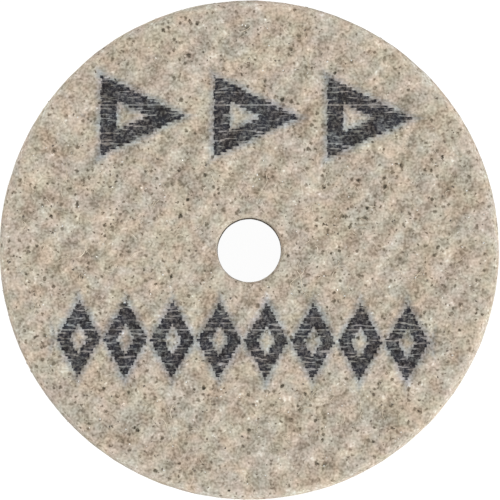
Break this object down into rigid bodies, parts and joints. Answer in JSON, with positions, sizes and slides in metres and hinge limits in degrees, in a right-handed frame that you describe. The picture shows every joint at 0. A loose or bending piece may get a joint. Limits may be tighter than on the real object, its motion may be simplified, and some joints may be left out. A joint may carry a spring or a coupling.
{
  "type": "bonded cotton fibre wheel",
  "caption": "Small hard cotton fibre deburring and polishing wheel with rounded edges and a mandrel hole through its centre.",
  "frame": {"origin": "centre of the mandrel hole on the back face, which the wheel lies on", "axes": "+Z along the mandrel hole, from the back face to the front face that the picture shows"},
  "size_m": [0.0254, 0.0254, 0.0063],
  "materials": {
    "bonded_cotton": "matt resin-bonded cotton with abrasive grain, speckled greyish tan, faint cloth rows"
  },
  "bodies": {
    "root": {"buffing_wheel": "bonded_cotton"}
  },
  "joints": []
}
